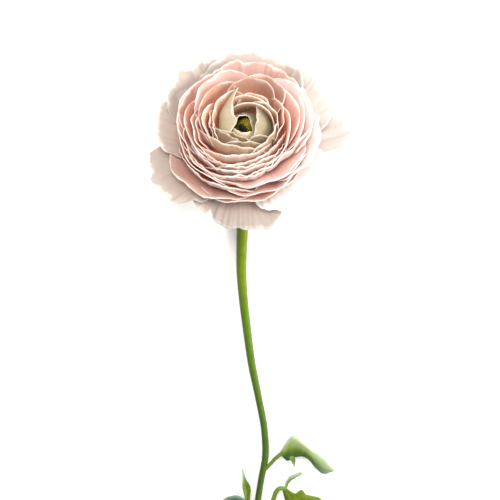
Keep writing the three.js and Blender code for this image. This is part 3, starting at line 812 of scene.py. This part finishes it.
def stem_points():
    """The stem's course in mm: straight down the bloom's axis, round the neck's bend, and along the table."""
    top = bloom_point(0, 0, STEM_TOP)
    lying = stem_radius(LYING_FROM / 2) * FACET - PRESS
    straight = (top.z - lying - NECK_BEND * (1 - math.cos(TILT))) / math.sin(TILT)
    bend = top - AXIS * straight
    points = [top, top - AXIS * straight / 2]
    for share in (0, 0.25, 0.5, 0.75, 1):
        angle = TILT * (1 - share)
        run = NECK_BEND * (math.sin(TILT) - math.sin(angle))
        drop = NECK_BEND * (math.cos(angle) - math.cos(TILT))
        points.append(Vector((NECK_ASIDE * share, bend.y - run, bend.z - drop)))
    for i, (x, y) in enumerate(STEM_COURSE):
        radius = stem_radius(mix(LYING_FROM, 1, i / (len(STEM_COURSE) - 1)))
        points.append(Vector((x, y, radius * FACET - PRESS)))
    return points


print("stem length in mm:", round(even_line(stem_points(), 1)[1], 1))

# %% [markdown]
# ## Tubes with a fine skin
# A round stalk is the same grid again, rolled up: across becomes the angle, and along walks the line. The
# seam is merged, and the ends are filled. Living stems are never quite round, so shallow ribs and a slow
# swelling are worked into the radius. What would sink into the table is pressed flat on it, as a soft stem
# really is.

# %% Tube
PRESSED_AT = 0.02  # mm over the table
SWELLING = 9  # mm from one slow swelling of a stalk to the next


def lay_tube(bm, points, radius_at, around, step, ribs, rib_depth):
    """Adds a closed tube along points. radius_at(share) is its radius, around is the number of its sides and
    step the length of its rings, in mm. Its ribs are rib_depth of its radius deep. Its tone is 1 along the
    right-hand side of one who walks the line, and -1 along the left-hand side, and the material paints shade
    on the first and light on the second."""
    spots, length = even_line(points, round(sum((b - a).length for a, b in zip(points, points[1:])) / step))
    count = len(spots) - 1

    def place(across, along):
        k = min(round(along * count), count)
        ahead = (spots[min(k + 1, count)] - spots[max(k - 1, 0)]).normalized()
        side = ahead.cross(Vector((0, 0, 1))).normalized()
        rise = side.cross(ahead)
        angle = math.pi * across
        round_about = Vector((2 * math.cos(angle), 2 * math.sin(angle), along * length / SWELLING))
        swell = 1 + 0.02 * noise.noise(round_about)
        radius = radius_at(along) * (swell - rib_depth * (0.5 - 0.5 * math.cos(ribs * angle)))
        spot = spots[k] + (side * math.cos(angle) + rise * math.sin(angle)) * radius
        spot.z = max(spot.z, PRESSED_AT)
        return spot

    verts, _ = lay_grid(bm, around, count, place, (2 * math.pi * radius_at(0.5), length))
    # Painted light and shade: the tone that runs round the tube makes one side darker and the other brighter.
    across, tone = bm.verts.layers.float["across"], bm.verts.layers.float["tone"]
    for vert in verts:
        vert[tone] = math.cos(math.pi * vert[across])
    seam = [vert for vert in verts if vert.is_boundary]
    bmesh.ops.remove_doubles(bm, verts=seam, dist=1e-3)
    ends = [edge for edge in bm.edges if edge.is_boundary]
    bmesh.ops.holes_fill(bm, edges=ends, sides=0)


# %% [markdown]
# ## The stem and its cut end
# Florists cut a ranunculus with a clean blade, and the end shows that the stem is a tube: a moist pale ring
# round a hollow. The end cap is inset to leave the ring and then pushed in. Its faces get a second, paler
# material.

# %% Stem
STEM_STOPS = [(0, "#768804"), (1, "#374C26"), (0.12, "#6C7E06"), (0.35, "#506A0A"), (0.6, "#405A18")]
STEM_GREEN = green_material("fresh_stem", STEM_STOPS, "rise", 0, 1, 0.8)
CUT_STOPS = [(0, "#C9D3A0"), (1, "#DDE3C2")]
CUT_GREEN = green_material("cut_stem_flesh", CUT_STOPS, "across", rough=0.3)
CUT_RING = 0.45  # mm, the ring's thickness
HOLLOW = 4  # mm deep
CUT_Y = -216.9  # mm; the cut end lies just beyond it

bm = new_sheet()
lay_tube(bm, stem_points(), stem_radius, 48, 0.8, 9, 0.035)
caps = [face for face in bm.faces if len(face.verts) > 4]
end = min(caps, key=lambda face: face.calc_center_median().y)
bmesh.ops.inset_region(bm, faces=[end], thickness=CUT_RING)
hollow = bmesh.ops.extrude_face_region(bm, geom=[end])["geom"]
deep_end = [item for item in hollow if isinstance(item, bmesh.types.BMVert)]
bmesh.ops.translate(bm, verts=deep_end, vec=(0, HOLLOW, 0))
for face in bm.faces:
    if face.calc_center_median().y < CUT_Y or len(face.verts) > 4:
        face.material_index = 1
finish_piece(bm, "stem_skin", "stem", [STEM_GREEN, CUT_GREEN], ["stem"])

# %% [markdown]
# ## The calyx
# Under the bloom five small green sepals spread from a round plate. The plate is spun like the core and the
# sepals are laid like petals, only shorter, pointed and cupped.

# %% Calyx plate
SEPAL_STOPS = [(0, "#8FA63F"), (1, "#8FA63F"), (0.5, "#A9B95C")]
SEPAL_GREEN = green_material("sepal_green", SEPAL_STOPS, "across", vein=0.7)
# Radius and height in mm, from the middle of its underside round to the middle of its top.
PLATE = [(0, -2.4), (3.0, -2.4), (4.4, -2.1), (5.2, -1.5), (5.4, -0.6), (5.2, -0.3), (0, -0.3)]

bm = new_sheet()
spin_outline(bm, PLATE, 40)
finish_piece(bm, "calyx_plate", "sepals", [SEPAL_GREEN])

# %% Sepals
SEPALS = 5
FIRST_SEPAL = 18  # degrees round the bloom's axis
SEPAL_HALF = 4.1  # mm, half its width where it is widest
SEPAL_REACH = (3.5, 14)  # mm from the axis, of its foot and its tip
SEPAL_WALL = 0.5  # mm
SEPAL_CLEAR = 0.7  # mm that it keeps above the table


def lay_sepal(bm, i):
    azimuth = math.radians(FIRST_SEPAL + 360 / SEPALS * i)

    def place(across, along):
        width = SEPAL_HALF * math.sqrt(math.sin(math.pi * (0.2 + 0.78 * along)))
        reach = mix(*SEPAL_REACH, along) - 0.8 * across**2
        height = -1.3 - 1.2 * along**2 + 0.5 * across**2
        height += 0.25 * along * noise.noise(Vector((2 * across, 3 * along, i)))
        spot = bloom_point(reach, azimuth + across * width / max(reach, 5), height)
        spot.z = max(spot.z, SEPAL_CLEAR)
        return spot

    lay_grid(bm, 16, 24, place, (8, 11), 13 * i)


bm = new_sheet()
for i in range(SEPALS):
    lay_sepal(bm, i)
finish_piece(bm, "calyx_sepals", "sepals", [SEPAL_GREEN], ["calyx"], SEPAL_WALL)

# %% [markdown]
# ## The eye
# The green eye is a dome set with carpels, each a blunt little beak. Carpels grow in the same golden-angle
# spiral as petals, so one loop with a cone per carpel covers the dome evenly. Olive tips over darker feet
# give its depth, and the darker feet are painted shade in the grooves. Round the dome stand the stamens, and
# a few of their blackish anthers have come to lean on its lower left side, where their near-black colour is
# partly painted shade of the deep bottom of the eye.

# %% Dome of the eye
# By rise, from the foot of a carpel to its tip: darker at the foot, as painted shade in the grooves.
EYE_STOPS = [(0, "#75681F"), (1, "#A89D4C"), (0.5, "#8D8233")]
EYE_GREEN = green_material("carpel_olive", EYE_STOPS, "rise", 0, 1, 0.5)
# Near black: partly the anthers' own colour, partly painted shade of the deep bottom of the eye.
ANTHER_STOPS = [(0, "#0D0B09"), (1, "#2B231C")]
ANTHER_AND_SHADE_DARK = green_material("dark_anther_and_shade", ANTHER_STOPS, "rise", 0, 1, 0.3)
SEAT = (0.5, 1.8, 15.2)  # mm in the bloom's frame: the dome's foot, a little off the axis
EYE_DOME = (3.9, 3.9, 5.8)  # mm, its radius and height

bm = new_sheet()
dome = bmesh.ops.create_uvsphere(bm, u_segments=32, v_segments=20, radius=1)["verts"]
bmesh.ops.scale(bm, verts=dome, vec=EYE_DOME)
everything = bm.verts[:] + bm.edges[:] + bm.faces[:]
bmesh.ops.bisect_plane(bm, geom=everything, plane_co=(0, 0, 0), plane_no=(0, 0, -1), clear_outer=True)
bmesh.ops.holes_fill(bm, edges=[edge for edge in bm.edges if edge.is_boundary], sides=0)
rise = bm.verts.layers.float["rise"]


def lean_out(turn, lean):
    """The direction that leans away from the dome's axis by lean, at turn round it, both in radians."""
    return Vector((math.sin(lean) * math.cos(turn), math.sin(lean) * math.sin(turn), math.cos(lean)))


def stand_on_dome(bm, verts, out, shell, ahead, size=(1, 1, 1)):
    """Scales a small shape, turns its Z to ahead and stands it in the direction out on a shell, which is
    given by its radius and height in mm."""
    turned = ahead.to_track_quat("Z", "Y").to_matrix().to_4x4() @ Matrix.Diagonal((*size, 1))
    spot = Matrix.Translation(Vector((out.x * shell[0], out.y * shell[0], out.z * shell[1])))
    bmesh.ops.transform(bm, matrix=spot @ turned, verts=verts)


print(len(dome), "points in the whole ball before its lower half is cut off")

# %% Carpels and anthers
CARPELS = 90
CARPEL = {"segments": 8, "radius1": 0.52, "radius2": 0.12, "depth": 1.5}  # mm
CARPEL_SHELL = (3.6, 5.3)  # mm, radius and height of the shell that their middles stand on
COVERED = 0.92  # share of the dome's height that they cover, from its top down
GOLDEN_ANGLE = math.radians(137.5)
ANTHER = (0.65, 0.6, 1.0)  # mm, half its width, thickness and length
ANTHER_SHELL = (4.5, 6.3)  # mm, likewise
# Where the anthers lean: degrees round the dome's axis and degrees away from it.
ANTHERS = [(205, 45), (216, 38), (222, 49), (232, 42), (243, 49), (248, 39), (259, 45)]

for i in range(CARPELS):
    tip = bmesh.ops.create_cone(bm, cap_ends=True, **CARPEL)["verts"]
    # The rise runs from the cone's foot to its tip, and the material darkens the foot as painted shade in the
    # grooves.
    for vert in tip:
        vert[rise] = clamp(0.5 + vert.co.z / CARPEL["depth"])
    out = lean_out(GOLDEN_ANGLE * i, math.acos(1 - COVERED * (i + 0.5) / CARPELS))
    stand_on_dome(bm, tip, out, CARPEL_SHELL, out)
for turn, lean in ANTHERS:
    anther = bmesh.ops.create_uvsphere(bm, u_segments=12, v_segments=8, radius=1)["verts"]
    for vert in anther:
        vert[rise] = clamp(0.5 + vert.co.z / 2)
    for face in {face for vert in anther for face in vert.link_faces}:
        face.material_index = 1
    out = lean_out(math.radians(turn), math.radians(lean))
    down = lean_out(math.radians(turn), math.radians(lean + 90))
    stand_on_dome(bm, anther, out, ANTHER_SHELL, down, ANTHER)
bmesh.ops.translate(bm, verts=bm.verts, vec=SEAT)
bm.transform(TO_BLOOM)
finish_piece(bm, "eye_carpels", "eye", [EYE_GREEN, ANTHER_AND_SHADE_DARK], ["carpel_head"])

# %% [markdown]
# ## Leaves
# Each small leaf is cut into lobes. A lobe is a sheet stretched between three lines, an edge, the midrib
# and the other edge, whose points repeat the solid model's. The finer sheet adds what the eye looks for:
# little teeth, a quilted surface between the veins and a soft swell on either side of the midrib.

# %% Leaf lines
# A leaf is a list of lobes, and a lobe is its edge, its midrib and its other edge, from foot to tip, in mm.
UPPER_LEAF = [
    (
        [
            (16.1, -145.9, 4.2), (22, -137.2, 5.2), (27.2, -141.2, 4.6), (30.5, -144.8, 3.6),
            (36.5, -150.4, 2), (41.9, -157.3, 0.8),
        ],
        [
            (16.3, -145.7, 5.2), (21.5, -136.3, 9), (26.6, -140.3, 8), (30.1, -143.8, 7),
            (36.2, -149.6, 4.5), (41.7, -157.1, 1.5),
        ],
        [
            (16.5, -147.6, 4.4), (19.4, -151.1, 3), (24.4, -148.4, 4), (28.3, -149.1, 4),
            (33.2, -155.4, 2.2), (36.9, -159, 1), (41.4, -157.8, 1),
        ],
    ),
    (
        [(20, -148.2, 4.2), (21.3, -151.5, 3), (22.8, -154.9, 2)],
        [(21.2, -147.9, 4.8), (22.1, -151.2, 3.5), (22.9, -154.9, 2.1)],
        [(22.6, -147.6, 4.4), (23.1, -151, 3.2), (23.1, -154.8, 2)],
    ),
]
UPPER_STALK = [(8.9, -156.4, 1.7), (11.6, -152.6, 3), (14, -149.2, 4), (18, -145, 5.6)]
RIGHT_LEAF = [
    (
        [(17.9, -165, 4.2), (18.7, -161.6, 4.6), (20.6, -158.6, 4.8), (26.3, -156.8, 3.2)],
        [(18.4, -165.4, 4), (19.5, -161.5, 4.5), (21.1, -159.6, 4.5), (26.5, -157.4, 3)],
        [(19, -165.6, 3.8), (20.3, -162, 4.2), (21.6, -160.6, 4.2), (26.8, -158.2, 2.8)],
    ),
    (
        [
            (18.6, -165, 3.9), (23.2, -167.6, 4.6), (26.3, -165.9, 4.4), (28.6, -168.6, 4),
            (35.4, -171.4, 2.6), (37.8, -177, 1.4), (36, -181, 1),
        ],
        [(18, -165.7, 4), (23.7, -171.4, 4.8), (29.6, -176.2, 3.8), (35.6, -181, 1.6)],
        [
            (17.4, -166.4, 3.9), (19.3, -173.6, 3.6), (22.5, -179.6, 2.6), (25.8, -178.5, 2.4),
            (29.5, -184.4, 1.2), (34, -183.6, 0.9), (35.4, -181.3, 1),
        ],
    ),
]
RIGHT_STALK = [
    (3.4, -195, 1.5), (7.5, -187, 1.7), (10.9, -179, 2.2), (12.7, -172.2, 3), (14, -167.6, 3.6),
    (15.8, -165.3, 4), (18.8, -165.6, 4),
]
LEFT_LEAF = [
    (
        [(-0.6, -179, 2.4), (-0.9, -171.3, 2.9), (-2, -165.4, 3.2), (-2, -160.4, 3.3), (-2.3, -155.7, 3)],
        [(0.4, -179, 2), (0.4, -171.2, 2.4), (0, -165.5, 2.6), (-1.2, -160.2, 2.9), (-1.9, -155.6, 2.8)],
        [(1.4, -179, 2.4), (1.6, -171, 2.9), (1.9, -165.6, 3.2), (-0.4, -160, 3.3), (-1.5, -155.6, 3)],
    ),
    (
        [
            (1.4, -179.5, 2.6), (-0.6, -171.6, 3.4), (-6, -169.2, 3.8), (-11, -171.8, 2.8),
            (-14.5, -177, 1.4),
        ],
        [(0.8, -180.6, 2.3), (-3, -177.5, 3.2), (-7.5, -176.6, 3.2), (-14.8, -178.2, 1.2)],
        [
            (0, -181.6, 2.2), (-3.4, -184.4, 2.4), (-8, -185.6, 1.6), (-11.6, -183.4, 1.2),
            (-14.5, -179.4, 1),
        ],
    ),
]
LEFT_STALK = [(3.4, -194, 1.5), (0.6, -187.5, 1.7), (0.4, -182, 2), (0.4, -177.5, 2.4)]

# %% Leaf lobes
TEETH = 0.05  # how far teeth run out, as a share of half the lobe's width
TOOTH = 1.8  # mm from tooth to tooth
QUILT = (2.4, 3)  # mm, across and along the lobe, from bulge to bulge
LEAF_WALL = 0.5  # mm
LEAF_CLEAR = 0.35  # mm that the middle of its wall keeps above the table


def lay_lobe(bm, lines, i, green):
    """Adds lobe i from its three lines. green is the number of its material on the leaf."""
    edge, rib, other = ([Vector(point) for point in line] for line in lines)
    length = sum((b - a).length for a, b in zip(rib, rib[1:]))
    width = max((a - b).length for a, b in zip(edge, other))

    def place(across, along):
        middle = smooth_line(rib, along)
        side = smooth_line(edge if across < 0 else other, along)
        tooth = 1 + TEETH * noise.noise(Vector((along * length / TOOTH, 9 * i, across > 0)))
        spot = middle.lerp(side, abs(across) * tooth)
        quilt = noise.noise(Vector((across * width / QUILT[0], along * length / QUILT[1], 4 * i)))
        spot.z += 0.22 * quilt + 0.3 * math.sin(math.pi * abs(across)) * (width / 12)
        spot.z = max(spot.z, LEAF_CLEAR)
        return spot

    columns = max(16, round(width / 0.5))
    rows = round(length / 0.5)
    _, faces = lay_grid(bm, columns, rows, place, (width, length), 23 * i, tone=0.2 * vary(i, 6))
    for face in faces:
        face.material_index = green


print("lobes per leaf:", [len(leaf) for leaf in (UPPER_LEAF, RIGHT_LEAF, LEFT_LEAF)])

# %% [markdown]
# ## Leaf colours
# The upper leaf curls over, so its crest shows a pale, almost grey underside skin and its belly the dark
# green. The broad leaf at the right is a warm yellow-green. The left one lies in shade, dark and bluish,
# with a paler rim. Each lobe's ramp runs from one edge over the midrib to the other.

# %% Leaf colours
STALK_STOPS = [(0, "#7F9446"), (1, "#4E6620"), (0.5, "#6A8030")]
CURLED_LOBE = [
    (0, "#B9C4B4"), (1, "#2A4606"), (0.3, "#AEBBA2"), (0.5, "#A3B18A"), (0.68, "#7C9152"), (0.82, "#42600C"),
]
HANGING_LOBE = [(0, "#8FA07C"), (1, "#4A6420"), (0.5, "#6F8450")]
STRAP_LOBE = [(0, "#909F86"), (1, "#3C5218"), (0.5, "#6A7E4C")]
BROAD_LOBE = [(0, "#6A7A34"), (1, "#3E500A"), (0.25, "#56680C"), (0.5, "#647618"), (0.7, "#4C6006")]
LANCE_LOBE = [(0, "#6C8050"), (1, "#4A6418"), (0.5, "#5A6E0C")]
ROUND_LOBE = [(0, "#6C8074"), (1, "#6C8074"), (0.14, "#344E3A"), (0.5, "#182F1E"), (0.86, "#2C4834")]
# The lobes, the stalk, its radius in mm, the slot, and each lobe's colours with how far its tip pales.
LEAVES = {
    "leaf_upper": (UPPER_LEAF, UPPER_STALK, 0.95, "upper_leaf", [(CURLED_LOBE, 0.4), (HANGING_LOBE, 0.7)]),
    "leaf_lower_right": (RIGHT_LEAF, RIGHT_STALK, 1.1, "right_leaf", [(STRAP_LOBE, 0.4), (BROAD_LOBE, 0.0)]),
    "leaf_lower_left": (LEFT_LEAF, LEFT_STALK, 1.0, "left_leaf", [(LANCE_LOBE, 0.8), (ROUND_LOBE, 0.2)]),
}
print(len(LEAVES), "leaves")

# %% Make the leaves
for number, (name, (lobes, stalk, radius, slot, colours)) in enumerate(LEAVES.items()):
    greens = []
    for i, (stops, tip) in enumerate(colours):
        greens.append(green_material(f"{name}_green_{i}", stops, vein=1.1, tip=tip))
    stalk_green = green_material(name + "_stalk_green", STALK_STOPS, vein=0.8)
    bm = new_sheet()
    lay_tube(bm, [Vector(point) for point in stalk], lambda share: radius, 20, 0.5, 5, 0.06)
    finish_piece(bm, name + "_stalk", slot, [stalk_green])
    bm = new_sheet()
    for i, lobe in enumerate(lobes):
        lay_lobe(bm, lobe, 3 * number + i, i)
    finish_piece(bm, name + "_blade", slot, greens, [name], LEAF_WALL)

# %% [markdown]
# ## Table and light
# The flower lies on a plain pale table. The key is one large soft lamp on the right, which leaves the left
# side of each petal in a warm shade. A weaker lamp looks down the bloom's axis, into the gaps between the
# petals, and an even white surround keeps the shadows thin.

# %% Table
TABLE_HALF = 3  # m, far past the picture's edges
table_mesh = bpy.data.meshes.new("table")
bm = bmesh.new()
bmesh.ops.create_grid(bm, x_segments=1, y_segments=1, size=TABLE_HALF)
bm.to_mesh(table_mesh)
bm.free()
table = bpy.data.objects.new("table", table_mesh)
bpy.context.scene.collection.objects.link(table)
table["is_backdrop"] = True

TABLE_PAINT, tree, shader = new_material("matte_white_paint")
spot = add(tree, "TexCoord").outputs["Object"]
mottle = add(tree, "TexNoise", {"Vector": spot, "Scale": 40, "Detail": 3}).outputs["Fac"]
paint = add(tree, "ValToRGB", {"Fac": mottle}, [(0, "#F6F5F3"), (1, "#FBFAF8")]).outputs["Color"]
tree.links.new(paint, shader.inputs["Base Color"])
shader.inputs["Roughness"].default_value = 0.9
shader.inputs["Specular IOR Level"].default_value = 0.2
table_mesh.materials.append(TABLE_PAINT)
print("table paint:", TABLE_PAINT.name)

# %% Light
BLOOM_SPOT = Vector((0, 0.08, 0))  # m, on the table under the bloom


def soft_lamp(name, place, size, watts, colour):
    """A round lamp at place that shines on the bloom. place and size are in m."""
    light = bpy.data.lights.new(name, "AREA")
    light.shape = "DISK"
    light.size = size
    light.energy = watts
    light.color = linear(colour)[:3]
    lamp = bpy.data.objects.new(name, light)
    bpy.context.scene.collection.objects.link(lamp)
    lamp.location = place
    lamp.rotation_euler = (BLOOM_SPOT - Vector(place)).to_track_quat("-Z", "Y").to_euler()
    print(f"{name}: {watts} W, {size} m across")


soft_lamp("key", (0.85, 0.3, 0.55), 0.5, 11.0, "#FFFCF7")
soft_lamp("fill", (-0.05, 0.5, 0.7), 0.4, 6.0, "#FFFBF6")
world = bpy.data.worlds.new("surround")
world.use_nodes = True
bpy.context.scene.world = world
surround = world.node_tree.nodes["Background"]
surround.inputs["Color"].default_value = linear("#FFFFFF")
surround.inputs["Strength"].default_value = 0.97

# %% [markdown]
# ## Camera
# The camera looks down at 74 degrees, the angle at which the lying bloom turns its face as it does in a
# portrait of the standing flower. Its lens follows from its distance and from how many millimetres one
# pixel should show.

# %% Camera
ELEVATION = math.radians(74)
DISTANCE = 450.0  # mm from the eye of the bloom
PIXEL = 0.41  # mm of one image pixel at that distance
EYE_PIXEL = Vector((246, 120.5))  # where the eye of the bloom appears in the 500 by 500 image
FRAME_PIXELS = 500
SENSOR = 36  # mm
back = Vector((0, math.cos(ELEVATION), math.sin(ELEVATION)))
up = Vector((0, math.sin(ELEVATION), -math.cos(ELEVATION)))
eye_spot = bloom_point(0, 0, CUP_HEIGHT)
aside = (FRAME_PIXELS / 2 - EYE_PIXEL.x) * PIXEL
below = (FRAME_PIXELS / 2 - EYE_PIXEL.y) * PIXEL
camera = bpy.data.objects.new("camera", bpy.data.cameras.new("camera"))
bpy.context.scene.collection.objects.link(camera)
bpy.context.scene.camera = camera
spot = TO_FRAME @ (eye_spot + back * DISTANCE + RIGHT * aside - up * below)
camera.matrix_world = Matrix.Translation(spot) @ Matrix((RIGHT, up, back)).transposed().to_4x4()
camera.data.sensor_width = SENSOR
camera.data.lens = SENSOR * DISTANCE / (PIXEL * FRAME_PIXELS)
bpy.context.scene.view_settings.view_transform = "Standard"
print("camera at", [round(1000 * x, 2) for x in spot], "lens", round(camera.data.lens, 2))

# %% [markdown]
# ## The shown size
# Dressing a model must not change its size. The box of what is shown is written out in millimetres.

# %% Finish
low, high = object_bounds()
print("shown box in mm:", [round(1000 * x, 1) for x in (high - low)])
